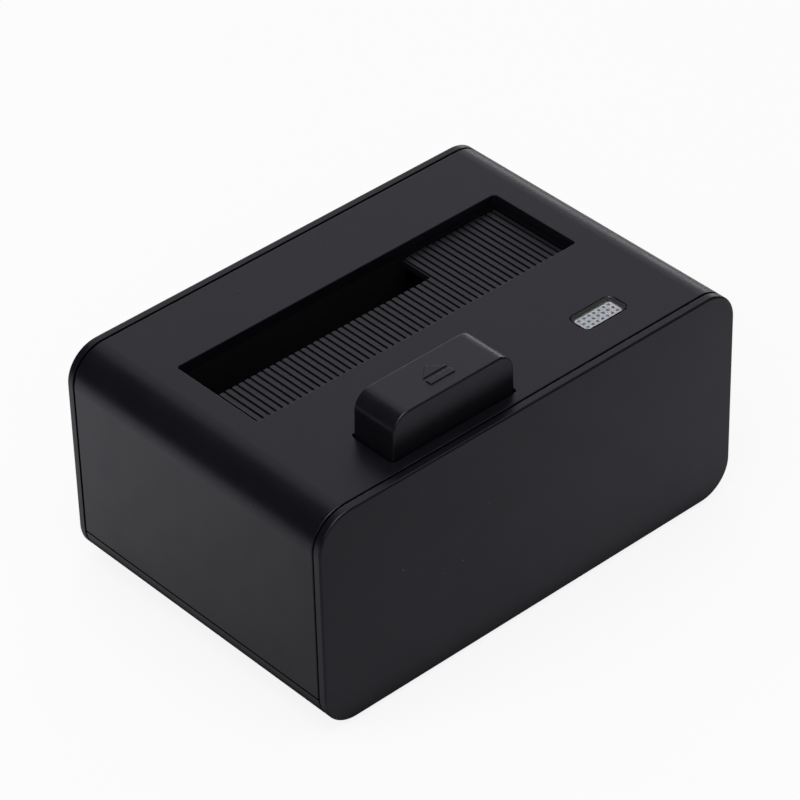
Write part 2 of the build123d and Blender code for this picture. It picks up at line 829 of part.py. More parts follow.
# Main board, L-shaped, screwed to the tray's posts
with BuildPart() as main_board:
    block(around(0, 2 * board_half), (board_front, board_rear), (board_under, board_top))
    block(
        (wing_left, board_half),
        (front_face + board_wing_gap, board_front),
        (board_under, board_top),
    )
    columns(post_places, clearance_radius, board_under - overrun, board_top + overrun, Mode.SUBTRACT)
keep(main_board, "main_board")

board_screw_length = 8.0
with BuildPart() as board_screws:
    screws(post_places, board_top, board_screw_length, up=False)
keep(board_screws, "board_screws")

# Drive socket: a data slot and a power slot between two guide cheeks
slot_width = 2.4
slot_sink = 6.0
key_length = 1.5
key_width = 1.4
data_slot = 10.6
power_slot = 20.9
slot_bridge = 2.3
contact_pitch = 1.27
contact_width = 0.6
contact_thickness = 0.25
contact_height = 4.6
data_contacts = 7
power_contacts = 15
slots_left = sata_x - (data_slot + slot_bridge + power_slot) / 2
data_x = slots_left + data_slot / 2
power_x = slots_left + data_slot + slot_bridge + power_slot / 2
slot_floor = sata_top - slot_sink
with BuildPart() as sata_socket:
    block(around(sata_x, sata_length), around(sata_y, sata_width), (board_top, sata_top))
    for x, length in ((data_x, data_slot), (power_x, power_slot)):
        block(
            around(x, length),
            around(sata_y, slot_width),
            (slot_floor, sata_top + overrun),
            Mode.SUBTRACT,
        )
        block(
            (x - length / 2, x - length / 2 + key_width),
            (sata_y, sata_y + slot_width / 2 + key_length),
            (slot_floor, sata_top + overrun),
            Mode.SUBTRACT,
        )
keep(sata_socket, "sata_socket")

with BuildPart() as sata_contacts:
    for x, count in ((data_x, data_contacts), (power_x, power_contacts)):
        contact_y = sata_y - slot_width / 2 + contact_thickness / 2
        with Locations((x, contact_y, slot_floor + contact_height / 2)):
            with GridLocations(contact_pitch, 0, count, 1):
                Box(contact_width, contact_thickness, contact_height)
keep(sata_contacts, "sata_contacts")

# Data port at the rear: a steel shell round a stepped insert with a tongue
shell_sheet = 0.4
frame_sheet = 0.6
port_low_width = 10.0
port_low_height = 7.4
port_high_width = 7.2
port_high_height = 3.4
port_margin = 0.8
insert_skin = 0.3
cavity_depth = 9.0
tongue_width = 5.6
tongue_height = 3.2
tongue_lift = 5.7
tongue_setback = 1.5
pad_width = 1.0
pad_thickness = 0.15
pad_pitch = 2.5
blade_count = 5
usb_z = board_top + usb_height / 2
usb_back = port_face - usb_depth
low_z = board_top + port_margin + port_low_height / 2
high_z = board_top + port_margin + port_low_height + port_high_height / 2
with BuildPart() as usb_shell:
    block(around(usb_x, usb_width), (usb_back, port_face), (board_top, board_top + usb_height))
    block(
        around(usb_x, usb_width - 2 * shell_sheet),
        (usb_back - overrun, port_face - frame_sheet),
        around(usb_z, usb_height - 2 * shell_sheet),
        Mode.SUBTRACT,
    )
    with BuildSketch(upright(port_face + overrun)):
        with Locations((usb_x, low_z)):
            Rectangle(port_low_width, port_low_height)
        with Locations((usb_x, high_z)):
            Rectangle(port_high_width, port_high_height)
    extrude(amount=2 * overrun, mode=Mode.SUBTRACT)
keep(usb_shell, "usb_shell")

tongue_z = (board_top + tongue_lift, board_top + tongue_lift + tongue_height)
insert_face = port_face - frame_sheet
with BuildPart() as usb_insert:
    block(
        around(usb_x, usb_width - 2 * shell_sheet),
        (usb_back, insert_face),
        around(usb_z, usb_height - 2 * shell_sheet),
    )
    with BuildSketch(upright(insert_face)):
        with Locations((usb_x, low_z)):
            Rectangle(port_low_width - 2 * insert_skin, port_low_height - 2 * insert_skin)
        with Locations((usb_x, high_z - insert_skin)):
            Rectangle(port_high_width - 2 * insert_skin, port_high_height)
    extrude(amount=cavity_depth, mode=Mode.SUBTRACT)
    block(around(usb_x, tongue_width), (insert_face - cavity_depth, port_face - tongue_setback), tongue_z)
keep(usb_insert, "usb_insert")

with BuildPart() as usb_contacts:
    pad_length = cavity_depth - tongue_setback
    pad_ys = (insert_face - cavity_depth, insert_face - cavity_depth + pad_length)
    for side in (-1, 1):
        x = usb_x + side * pad_pitch / 2
        block(around(x, pad_width), pad_ys, (tongue_z[0] - pad_thickness, tongue_z[0]))
        block(around(x, pad_width), pad_ys, (tongue_z[1], tongue_z[1] + pad_thickness))
    blade_top = high_z - insert_skin + port_high_height / 2
    with Locations((usb_x, sum(pad_ys) / 2, blade_top - pad_thickness / 2)):
        with GridLocations(pad_pitch / 2, 0, blade_count, 1):
            Box(pad_width * recess_share, pad_length, pad_thickness)
keep(usb_contacts, "usb_contacts")

# Power inlet: a block with a round mouth, a centre pin and a spring contact at its side
jack_bore = 3.05
jack_bore_depth = 9.5
jack_bore_lift = 6.6
jack_pin_radius = 1.0
jack_pin_setback = 0.9
spring_slot = 2.4
spring_slot_sink = 1.2
spring_strip = 2.0
spring_sheet = 0.4
spring_bite = 0.4
jack_z = board_top + jack_bore_lift
jack_back = port_face - jack_depth
bore_back = port_face - jack_bore_depth
with BuildPart() as power_jack:
    block(around(jack_x, jack_width), (jack_back, port_face), (board_top, board_top + jack_height))
    with BuildSketch(upright(port_face)):
        with Locations((jack_x, jack_z)):
            Circle(jack_bore)
        with Locations((jack_x + (jack_bore + spring_slot_sink) / 2, jack_z)):
            Rectangle(jack_bore + spring_slot_sink, spring_slot)
    extrude(amount=jack_bore_depth, mode=Mode.SUBTRACT)
keep(power_jack, "power_jack")

with BuildPart() as jack_pin:
    with BuildSketch(upright(port_face - jack_pin_setback)):
        with Locations((jack_x, jack_z)):
            Circle(jack_pin_radius)
    extrude(amount=jack_bore_depth - jack_pin_setback)
    fillet(jack_pin.faces().sort_by(Axis.Y)[-1].edges(), jack_pin_radius / 2)
keep(jack_pin, "jack_pin")

with BuildPart() as jack_spring:
    strip_zs = around(jack_z, spring_strip)
    strip_low = jack_x + jack_bore - spring_bite
    block((strip_low, strip_low + spring_sheet), (bore_back, port_face - jack_pin_setback), strip_zs)
    block(
        (strip_low, jack_x + jack_bore + spring_slot_sink),
        (bore_back, bore_back + spring_sheet),
        strip_zs,
    )
keep(jack_spring, "jack_spring")

# Power switch: a housing with a raised bezel, and a rocker on two stub axles
opening_width = 7.0
bezel_bevel = 0.6
rocker_side_gap = 0.15
axle_radius = 0.9
axle_length = 0.6
rocker_back = 1.6
rocker_hub = 1.8
shoulder_depth = 1.2
terminal_width = 2.0
terminal_sheet = 0.8
terminal_reach = 3.0
terminal_drop = 3.0
terminal_spread = 5.0
bezel_face = rear_face + bezel_proud
rocker_pivot_y = bezel_face - rocker_face_depth * cos(radians(rocker_tilt))
tip_depth = rocker_face_depth + rocker_half_length * tan(radians(rocker_tilt))
tip_radius = sqrt(tip_depth**2 + rocker_half_length**2)
switch_back = rear_face - switch_body_depth
with BuildPart() as switch_housing:
    with BuildSketch(upright(rear_face)):
        with Locations((switch_x, switch_z)):
            Rectangle(bezel_width, bezel_height)
    extrude(amount=-bezel_proud)
    chamfer(switch_housing.faces().sort_by(Axis.Y)[-1].edges(), bezel_bevel)
    block(
        around(switch_x, switch_body_width),
        (switch_back, rear_face),
        around(switch_z, switch_body_height),
    )
    rod(
        (switch_x, rocker_pivot_y, switch_z),
        tip_radius + fit_gap,
        opening_width,
        Mode.SUBTRACT,
        rotation=(0, 90, 0),
    )
    rod(
        (switch_x, rocker_pivot_y, switch_z),
        axle_radius + pin_gap,
        opening_width + 2 * (axle_length + pin_gap),
        Mode.SUBTRACT,
        rotation=(0, 90, 0),
    )
keep(switch_housing, "switch_housing")

# The rocker is drawn level in its own plane, which is then tipped so that its lower half is in
shoulder_rise = sqrt(tip_radius**2 - shoulder_depth**2)
rocker_plane = Plane(
    (switch_x, rocker_pivot_y, switch_z),
    x_dir=(0, cos(radians(rocker_tilt)), -sin(radians(rocker_tilt))),
    z_dir=(1, 0, 0),
)
with BuildPart() as switch_rocker:
    rocker_width = opening_width - 2 * rocker_side_gap
    with BuildSketch(rocker_plane):
        with BuildLine():
            Polyline(
                (tip_depth, -rocker_half_length), (rocker_face_depth, 0), (tip_depth, rocker_half_length)
            )
            RadiusArc((tip_depth, rocker_half_length), (shoulder_depth, shoulder_rise), -tip_radius)
            Polyline(
                (shoulder_depth, shoulder_rise),
                (-rocker_back, rocker_hub),
                (-rocker_back, -rocker_hub),
                (shoulder_depth, -shoulder_rise),
            )
            RadiusArc((shoulder_depth, -shoulder_rise), (tip_depth, -rocker_half_length), -tip_radius)
        make_face()
    extrude(amount=rocker_width / 2, both=True)
    rod(
        (switch_x, rocker_pivot_y, switch_z),
        axle_radius,
        rocker_width + 2 * (axle_length + rocker_side_gap),
        rotation=(0, 90, 0),
    )
keep(switch_rocker, "switch_rocker")

with BuildPart() as switch_terminals:
    for side in (-1, 1):
        xs = around(switch_x + side * terminal_spread / 2, terminal_width)
        top = switch_z - terminal_drop
        block(xs, (switch_back - terminal_reach, switch_back), (top - terminal_sheet, top))
        block(
            xs,
            (switch_back - terminal_reach, switch_back - terminal_reach + terminal_sheet),
            (board_top, top),
        )
keep(switch_terminals, "switch_terminals")

# Indicator window: a clear lens, a dimpled diffuser and a light guide down to two lamps
pocket_margin = 0.8
dimple_radius = 0.4
dimple_sink = 0.4
dimple_pitch_x = 1.65
dimple_pitch_y = 1.55
diffuser_base = 0.8
lamp_length = 3.5
lamp_depth = 2.8
lamp_height = 1.9
lamp_spread = 4.4
guide_foot_length = 9.0
guide_foot_depth = 5.0
pocket_length = lens_length - 2 * pocket_margin
pocket_depth = lens_depth - 2 * pocket_margin
pocket_top = case_top - lens_skin
lens_bottom = cover_under - lens_flange_thickness
with BuildPart() as window_lens:
    with BuildSketch(Plane.XY.offset(case_top)):
        with Locations((window_x, window_y)):
            RectangleRounded(lens_length, lens_depth, window_radius - fit_gap)
    extrude(amount=lens_bottom - case_top)
    block(around(window_x, seat_length), around(window_y, seat_depth), (lens_bottom, cover_under))
    with BuildSketch(Plane.XY.offset(pocket_top)):
        with Locations((window_x, window_y)):
            RectangleRounded(pocket_length, pocket_depth, window_radius - fit_gap - pocket_margin)
    extrude(amount=lens_bottom - pocket_top - overrun, mode=Mode.SUBTRACT)
keep(window_lens, "window_lens")

diffuser_top = pocket_top - fit_gap
diffuser_bottom = lens_bottom - diffuser_base
with BuildPart() as window_diffuser:
    block(around(window_x, seat_length), around(window_y, seat_depth), (diffuser_bottom, lens_bottom))
    with BuildSketch(Plane.XY.offset(lens_bottom)):
        with Locations((window_x, window_y)):
            RectangleRounded(
                pocket_length - 2 * fit_gap,
                pocket_depth - 2 * fit_gap,
                window_radius - 2 * fit_gap - pocket_margin,
            )
    extrude(amount=diffuser_top - lens_bottom)
    dimples_x = int((pocket_length - 2 * fit_gap) / dimple_pitch_x)
    dimples_y = int((pocket_depth - 2 * fit_gap) / dimple_pitch_y)
    with BuildSketch(Plane.XY.offset(diffuser_top)):
        with Locations((window_x, window_y)):
            with GridLocations(dimple_pitch_x, dimple_pitch_y, dimples_x, dimples_y):
                Circle(dimple_radius)
    extrude(amount=-dimple_sink, mode=Mode.SUBTRACT)
keep(window_diffuser, "window_diffuser")

guide_shoulder = cover_under - sleeve_length
guide_foot = board_top + lamp_height + fit_gap
with BuildPart() as light_guide:
    block(
        around(window_x, seat_length), around(window_y, seat_depth), (guide_shoulder, diffuser_bottom)
    )
    with BuildSketch(Plane.XY.offset(guide_foot)):
        with Locations((window_x, window_y)):
            Rectangle(guide_foot_length, guide_foot_depth)
    with BuildSketch(Plane.XY.offset(guide_shoulder)):
        with Locations((window_x, window_y)):
            Rectangle(seat_length, seat_depth)
    loft()
keep(light_guide, "light_guide")

for lamp_name, side in (("power_lamp", -1), ("activity_lamp", 1)):
    with BuildPart() as lamp:
        block(
            around(window_x + side * lamp_spread / 2, lamp_length),
            around(window_y, lamp_depth),
            (board_top, board_top + lamp_height),
        )
        chamfer(lamp.edges().filter_by(Axis.Z), fit_gap)
    keep(lamp, lamp_name)

# Parts soldered to the board, placed from the slot and the rear edge
chip_side = 10.0
chip_height = 1.2
chip_x = 33.0
chip_setback = 15.0
crystal_length = 11.0
crystal_depth = 4.6
crystal_height = 3.5
crystal_x = 33.0
coil_side = 6.6
coil_setback = 18.0
coil_height = 4.0
coil_core_radius = 2.6
can_radius = 3.15
can_height = 7.5
can_base = 0.8
regulator_length = 6.5
regulator_depth = 3.5
regulator_height = 1.6
regulator_pitch = 7.8
small_length = 2.0
small_depth = 1.25
small_height = 0.6
small_pitch = 4.5
small_count = 7
part_pitch = 10.0
chip_y = slot_rear - chip_setback
crystal_y = sata_y
rear_row = rear_face - post_end_inset
coil_row = rear_face - coil_setback
row_start = usb_x + usb_width / 2 + part_pitch / 2

with BuildPart() as bridge_chip:
    block(around(chip_x, chip_side), around(chip_y, chip_side), (board_top, board_top + chip_height))
    chamfer(bridge_chip.edges().filter_by(Axis.Z), fit_gap)
keep(bridge_chip, "bridge_chip")

with BuildPart() as crystal_can:
    with BuildSketch(Plane.XY.offset(board_top)):
        with Locations((crystal_x, crystal_y)):
            SlotOverall(crystal_length, crystal_depth)
    extrude(amount=crystal_height)
    fillet(crystal_can.faces().sort_by(Axis.Z)[-1].edges(), slide_gap)
keep(crystal_can, "crystal_can")

with BuildPart() as power_coils:
    for n in range(2):
        x = switch_x - part_pitch * (n + 1 / 2)
        block(around(x, coil_side), around(coil_row, coil_side), (board_top, board_top + coil_height))
        rod((x, coil_row, board_top + coil_height), coil_core_radius, 2 * slide_gap, Mode.SUBTRACT)
keep(power_coils, "power_coils")

can_places = [(row_start + part_pitch * n, rear_row) for n in range(2)]
with BuildPart() as smoothing_capacitors:
    for x, y in can_places:
        block(around(x, 2 * can_radius), around(y, 2 * can_radius), (board_top, board_top + can_base))
    columns(can_places, can_radius, board_top, board_top + can_height)
    fillet(smoothing_capacitors.faces().group_by(Axis.Z)[-1].edges(), slide_gap)
keep(smoothing_capacitors, "smoothing_capacitors")

with BuildPart() as regulators:
    for n in range(2):
        block(
            around(jack_x - regulator_pitch * n, regulator_length),
            around(board_front + post_front_inset, regulator_depth),
            (board_top, board_top + regulator_height),
        )
keep(regulators, "regulators")

small_row = sata_y + sata_width / 2 + small_length
with BuildPart() as ceramic_capacitors:
    with Locations((sata_x, small_row, board_top + small_height / 2)):
        with GridLocations(small_pitch, 0, small_count, 1):
            Box(small_length, small_depth, small_height)
keep(ceramic_capacitors, "ceramic_capacitors")
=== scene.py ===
"""The looks of a hard drive docking station: finishes, marks, button springs, lamps, floor and camera."""

import json
import logging
from dataclasses import dataclass, field
from enum import Enum
from itertools import product
from math import cos, pi, radians, sin
from typing import Protocol

import bmesh
import bpy
from mathutils import Matrix, Vector


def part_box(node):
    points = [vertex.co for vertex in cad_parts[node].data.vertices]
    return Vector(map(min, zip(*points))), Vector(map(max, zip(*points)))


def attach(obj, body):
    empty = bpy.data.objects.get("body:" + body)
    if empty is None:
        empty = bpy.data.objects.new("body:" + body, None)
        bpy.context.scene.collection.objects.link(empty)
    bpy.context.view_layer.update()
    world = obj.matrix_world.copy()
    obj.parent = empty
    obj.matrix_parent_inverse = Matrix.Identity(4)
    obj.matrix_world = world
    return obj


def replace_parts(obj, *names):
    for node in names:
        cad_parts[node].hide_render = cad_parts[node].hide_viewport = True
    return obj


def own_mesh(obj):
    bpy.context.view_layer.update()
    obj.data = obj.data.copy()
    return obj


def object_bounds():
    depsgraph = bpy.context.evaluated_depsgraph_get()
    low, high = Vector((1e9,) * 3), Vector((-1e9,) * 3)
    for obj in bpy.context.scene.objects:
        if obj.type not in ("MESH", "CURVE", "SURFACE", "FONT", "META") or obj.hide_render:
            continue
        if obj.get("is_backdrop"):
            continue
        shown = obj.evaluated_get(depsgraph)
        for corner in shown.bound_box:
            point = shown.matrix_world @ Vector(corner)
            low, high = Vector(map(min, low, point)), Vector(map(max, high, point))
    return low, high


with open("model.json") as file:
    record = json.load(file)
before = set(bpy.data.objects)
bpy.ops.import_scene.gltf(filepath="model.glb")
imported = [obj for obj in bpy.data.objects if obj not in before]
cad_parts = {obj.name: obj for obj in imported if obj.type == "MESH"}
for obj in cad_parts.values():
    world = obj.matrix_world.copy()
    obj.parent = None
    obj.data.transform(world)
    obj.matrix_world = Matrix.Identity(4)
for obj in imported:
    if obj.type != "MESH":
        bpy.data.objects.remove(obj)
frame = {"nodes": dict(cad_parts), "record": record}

MM = 0.001
NOISE_ROUGHNESS = 0.5
EDGE_SAMPLES = 6
PAINTED_SHADE_BLACK = (0.0, 0.0, 0.0)
Colour = tuple[float, float, float]
Socket = bpy.types.NodeSocket
Value = Socket | float | Colour | Vector

log = logging.getLogger("docking_station")


class Graph:
    """The node tree of one material, with short ways to add its nodes and tie them together."""

    def __init__(self, name: str) -> None:
        """Starts a material that holds one shader.

        Args:
            name: The material's name.
        """
        self.material = bpy.data.materials.new(name)
        self.material.use_nodes = True
        self.tree = self.material.node_tree
        self.tree.nodes.clear()
        self.shader = self.tree.nodes.new("ShaderNodeBsdfPrincipled")
        self.output = self.tree.nodes.new("ShaderNodeOutputMaterial")
        self.place = self.tree.nodes.new("ShaderNodeTexCoord").outputs["Object"]
        self.tree.links.new(self.shader.outputs["BSDF"], self.output.inputs["Surface"])

    def give(self, node: bpy.types.Node, values: dict[str | int, Value]) -> None:
        """Sets or links a node's inputs.

        Args:
            node: The node.
            values: What each input gets, by its name or number.
        """
        for key, value in values.items():
            if isinstance(value, Socket):
                self.tree.links.new(value, node.inputs[key])
            else:
                node.inputs[key].default_value = value

    def add(
        self, kind: str, values: dict[str | int, Value], **options: str | int | bool
    ) -> bpy.types.Node:
        """Adds a node.

        Args:
            kind: The node's type.
            values: What its inputs get.
            options: What its properties get.

        Returns:
            The node.
        """
        node = self.tree.nodes.new(kind)
        for option, value in options.items():
            setattr(node, option, value)
        self.give(node, values)
        return node

    def noise(self, width: float, detail: float = 2.0, stretch: Colour = (1.0, 1.0, 1.0)) -> Socket:
        """Soft noise on the object's own coordinates.

        Args:
            width: The size of its blotches in metres.
            detail: How many finer layers it has.
            stretch: How much finer it is along X, Y and Z.

        Returns:
            Its value, about 0.3 to 0.7.
        """
        place = self.add("ShaderNodeMapping", {"Vector": self.place, "Scale": stretch}).outputs["Vector"]
        values = {"Vector": place, "Scale": 1 / width, "Detail": detail, "Roughness": NOISE_ROUGHNESS}
        return self.add("ShaderNodeTexNoise", values).outputs["Fac"]

    def cells(self, width: float) -> Socket:
        """The distance to the nearest of many scattered points.

        Args:
            width: The spacing of the points in metres.

        Returns:
            The distance, 0 at a point.
        """
        values = {"Vector": self.place, "Scale": 1 / width}
        return self.add("ShaderNodeTexVoronoi", values).outputs["Distance"]

    def spread(self, value: Socket, low: float, high: float, start: float = 0.3, end: float = 0.7) -> Socket:
        """Maps a value from one range to another.

        Args:
            value: The value.
            low: What comes out at the start of the range, or before it.
            high: What comes out at its end, or past it.
            start: The start of the value's range.
            end: The end of the value's range.

        Returns:
            The new value.
        """
        values = {"Value": value, "From Min": start, "From Max": end, "To Min": low, "To Max": high}
        return self.add("ShaderNodeMapRange", values, clamp=True).outputs["Result"]

    def mix(self, factor: Value, first: Value, second: Value) -> Socket:
        """Mixes two colours.

        Args:
            factor: 0 for the first, 1 for the second.
            first: The first colour.
            second: The second colour.

        Returns:
            The mixed colour.
        """
        node = self.add("ShaderNodeMix", {"Factor": factor}, data_type="RGBA")
        colours = [value if isinstance(value, Socket) else (*value, 1.0) for value in (first, second)]
        self.give(node, {6: colours[0], 7: colours[1]})
        return node.outputs[2]

    def blend(self, factor: Value, first: Value, second: Value) -> Socket:
        """A number between two others: the first at a factor of 0, the second at 1."""
        return self.add("ShaderNodeMix", {"Factor": factor, "A": first, "B": second}).outputs["Result"]

    def math(self, operation: str, first: Value, second: Value) -> Socket:
        """One step of arithmetic on two values, such as ADD."""
        return self.add("ShaderNodeMath", {0: first, 1: second}, operation=operation).outputs["Value"]

    def soften(self, radius: float) -> Socket:
        """A normal that rounds the edges over a radius in metres."""
        return self.add("ShaderNodeBevel", {"Radius": radius}, samples=EDGE_SAMPLES).outputs["Normal"]

    def bump(self, height: Socket, relief: float, normal: Socket | None = None) -> Socket:
        """Tilts the surface by a height.

        Args:
            height: The height, 0 to 1.
            relief: The height of 1 in metres.
            normal: A normal that the relief is added to.

        Returns:
            The tilted normal.
        """
        values = {"Height": height, "Distance": relief, "Strength": 1.0}
        if normal is not None:
            values["Normal"] = normal
        return self.add("ShaderNodeBump", values).outputs["Normal"]


class SkyGraph(Graph):
    """The node tree of the world."""

    def __init__(self, name: str) -> None:
        """Starts a world that holds one background.

        Args:
            name: The world's name.
        """
        self.world = bpy.data.worlds.new(name)
        self.world.use_nodes = True
        self.tree = self.world.node_tree
        self.tree.nodes.clear()
        self.shader = self.tree.nodes.new("ShaderNodeBackground")
        self.output = self.tree.nodes.new("ShaderNodeOutputWorld")
        self.place = self.tree.nodes.new("ShaderNodeTexCoord").outputs["Generated"]
        self.tree.links.new(self.shader.outputs["Background"], self.output.inputs["Surface"])


class Finish(Protocol):
    """What a piece can be dressed with."""

    name: str

    def material(self) -> bpy.types.Material:
        """The finish as a material."""


def shade(colour: Colour, share: float) -> Colour:
    """A colour made lighter or darker.

    Args:
        colour: The colour.
        share: The share of its light that is left, or more than 1 for a lighter one.

    Returns:
        The new colour.
    """
    return tuple(min(1.0, part * share) for part in colour)


@dataclass(frozen=True)
class MouldedPlastic:
    """A moulded plastic, whose fine grain breaks its gloss and whose colour drifts a little."""

    name: str
    colour: Colour
    roughness: float = 0.42
    specular: float = 0.4
    grain: float = 0.28 * MM
    relief: float = 0.006 * MM
    drift: float = 0.12
    edge: float = 0.12 * MM
    specks: float = 0.0
    tint: Colour = (1.0, 1.0, 1.0)
    cloud_width: float = 24 * MM
    smear_width: float = 11 * MM
    smear_range: tuple[float, float] = (-0.03, 0.04)
    grain_range: tuple[float, float] = (-0.04, 0.04)
    grain_share: float = 0.35
    grain_light: float = 1.6
    speck_pitch: float = 9 * MM
    speck_reach: tuple[float, float] = (0.012, 0.02)
    speck_colour: Colour = (0.35, 0.35, 0.36)

    def material(self) -> bpy.types.Material:
        """The plastic as a material.

        Returns:
            The material.
        """
        graph = Graph(self.name)
        cloud = graph.noise(self.cloud_width, 3.0)
        fine = graph.noise(self.grain, 2.0)
        dark, light = shade(self.colour, 1 - self.drift), shade(self.colour, 1 + self.drift)
        colour = graph.mix(graph.spread(cloud, 0.0, 1.0), dark, light)
        pale = graph.spread(fine, 0.0, self.grain_share)
        colour = graph.mix(pale, colour, shade(self.colour, self.grain_light))
        if self.specks:
            speck = graph.spread(graph.cells(self.speck_pitch), self.specks, 0.0, *self.speck_reach)
            colour = graph.mix(speck, colour, self.speck_colour)
        smear = graph.spread(graph.noise(self.smear_width, 4.0), *self.smear_range)
        matt = graph.math("ADD", smear, graph.spread(fine, *self.grain_range))
        roughness = graph.math("ADD", matt, self.roughness)
        normal = graph.bump(fine, self.relief, graph.soften(self.edge))
        graph.give(graph.shader, {"Base Color": colour, "Roughness": roughness, "Normal": normal})
        graph.give(graph.shader, {"Specular IOR Level": self.specular, "Specular Tint": (*self.tint, 1.0)})
        return graph.material


@dataclass(frozen=True)
class ClearPlastic:
    """A clear plastic with faint scuffs."""

    name: str
    colour: Colour = (0.93, 0.95, 0.97)
    roughness: float = 0.06
    ior: float = 1.49
    scuff_width: float = 1.6 * MM
    scuff_stretch: Colour = (1.0, 3.0, 1.0)
    scuff_shade: float = 0.97
    scuff_roughness: float = 0.05
    scuff_range: tuple[float, float] = (0.45, 0.75)
    wave_width: float = 3 * MM
    relief: float = 0.004 * MM

    def material(self) -> bpy.types.Material:
        """The clear plastic as a material.

        Returns:
            The material.
        """
        graph = Graph(self.name)
        scuff = graph.noise(self.scuff_width, 4.0, self.scuff_stretch)
        tint = graph.mix(graph.spread(scuff, 0.0, 1.0), self.colour, shade(self.colour, self.scuff_shade))
        dull = graph.spread(scuff, 0.0, self.scuff_roughness, *self.scuff_range)
        roughness = graph.math("ADD", dull, self.roughness)
        normal = graph.bump(graph.noise(self.wave_width, 1.0), self.relief)
        graph.give(graph.shader, {"Base Color": tint, "Roughness": roughness, "Normal": normal})
        graph.give(graph.shader, {"Transmission Weight": 1.0, "IOR": self.ior})
        return graph.material


@dataclass(frozen=True)
class FrostedPlastic:
    """A milky plastic that spreads the light of the lamps behind it."""

    name: str
    colour: Colour
    roughness: float = 0.45
    depth: float = 0.8 * MM
    pit_middle: tuple[float, float] = (0.0, 0.0)
    pit_pitch: tuple[float, float] = (1.0, 1.0)
    pit_radius: float = 0.6 * MM
    pit_painted_shade: float = 0.25
    pit_floor: float = 0.6
    cloud_width: float = 2.2 * MM
    cloud_shade: float = 0.92
    matt_width: float = 0.4 * MM
    matt_range: tuple[float, float] = (-0.06, 0.08)
    grain: float = 0.3 * MM
    relief: float = 0.008 * MM
    milkiness: float = 0.25

    def pits(self, graph: Graph) -> Socket:
        """Where the dimples lie: on a level grid, in the front half of the object only.

        Args:
            graph: The tree that the nodes go into.

        Returns:
            1 inside a dimple, where the shade is painted, and 0 outside.
        """
        place = graph.add("ShaderNodeSeparateXYZ", {"Vector": graph.place})
        steps = []
        for axis, middle, pitch in zip("XY", self.pit_middle, self.pit_pitch):
            count = graph.math("DIVIDE", graph.math("SUBTRACT", place.outputs[axis], middle), pitch)
            rest = graph.math("SUBTRACT", count, graph.math("ROUND", count, 0.0))
            steps.append(graph.math("MULTIPLY", rest, pitch))
        offset = graph.add("ShaderNodeCombineXYZ", {"X": steps[0], "Y": steps[1]}).outputs["Vector"]
        away = graph.add("ShaderNodeVectorMath", {0: offset}, operation="LENGTH").outputs["Value"]
        front = graph.math("LESS_THAN", place.outputs["Y"], 0.0)
        pit = graph.spread(away, 1.0, 0.0, self.pit_radius * self.pit_floor, self.pit_radius)
        return graph.math("MULTIPLY", pit, front)

    def material(self) -> bpy.types.Material:
        """The milky plastic as a material, with painted shade in its dimples.

        Returns:
            The material.
        """
        graph = Graph(self.name)
        cloud = graph.spread(graph.noise(self.cloud_width, 3.0), 0.0, 1.0)
        colour = graph.mix(cloud, shade(self.colour, self.cloud_shade), self.colour)
        # painted shade: the colour is darkened inside each dimple
        colour = graph.mix(self.pits(graph), colour, shade(self.colour, self.pit_painted_shade))
        low, high = (self.roughness + change for change in self.matt_range)
        roughness = graph.spread(graph.noise(self.matt_width, 2.0), low, high)
        normal = graph.bump(graph.noise(self.grain, 2.0), self.relief)
        graph.give(graph.shader, {"Base Color": colour, "Roughness": roughness, "Normal": normal})
        graph.give(graph.shader, {"Subsurface Weight": self.milkiness, "Subsurface Scale": self.depth})
        return graph.material


@dataclass(frozen=True)
class Metal:
    """A bare or plated metal, with fine streaks along one axis and a few darker patches."""

    name: str
    colour: Colour
    roughness: float = 0.28
    streaks: Colour = (1.0, 1.0, 1.0)
    relief: float = 0.002 * MM
    tarnish: float = 0.15
    anisotropy: float = 0.0
    patch_width: float = 4 * MM
    streak_width: float = 0.5 * MM
    streak_range: tuple[float, float] = (-0.05, 0.07)
    edge: float = 0.08 * MM

    def material(self) -> bpy.types.Material:
        """The metal as a material.

        Returns:
            The material.
        """
        graph = Graph(self.name)
        patch = graph.noise(self.patch_width, 4.0)
        streak = graph.noise(self.streak_width, 3.0, self.streaks)
        dull = shade(self.colour, 1 - self.tarnish)
        colour = graph.mix(graph.spread(patch, 0.0, 1.0), self.colour, dull)
        roughness = graph.math("ADD", graph.spread(streak, *self.streak_range), self.roughness)
        normal = graph.bump(streak, self.relief, graph.soften(self.edge))
        graph.give(graph.shader, {"Base Color": colour, "Roughness": roughness, "Normal": normal})
        graph.give(graph.shader, {"Metallic": 1.0, "Anisotropic": self.anisotropy})
        return graph.material


@dataclass(frozen=True)
class Rubber:
    """A matt rubber with small pits."""

    name: str
    colour: Colour
    roughness: float = 0.82
    specular: float = 0.3
    matt_range: tuple[float, float] = (-0.06, 0.06)
    cloud_width: float = 3 * MM
    cloud_shades: tuple[float, float] = (0.8, 1.35)
    pit_pitch: float = 0.35 * MM
    pit_range: tuple[float, float] = (0.05, 0.45)
    relief: float = 0.02 * MM
    edge: float = 0.2 * MM

    def material(self) -> bpy.types.Material:
        """The rubber as a material.

        Returns:
            The material.
        """
        graph = Graph(self.name)
        cloud = graph.noise(self.cloud_width, 4.0)
        pits = graph.spread(graph.cells(self.pit_pitch), 0.0, 1.0, *self.pit_range)
        dark, light = (shade(self.colour, share) for share in self.cloud_shades)
        colour = graph.mix(graph.spread(cloud, 0.0, 1.0), dark, light)
        low, high = (self.roughness + change for change in self.matt_range)
        roughness = graph.spread(cloud, low, high)
        normal = graph.bump(pits, self.relief, graph.soften(self.edge))
        graph.give(graph.shader, {"Base Color": colour, "Roughness": roughness, "Normal": normal})
        graph.give(graph.shader, {"Specular IOR Level": self.specular})
        return graph.material


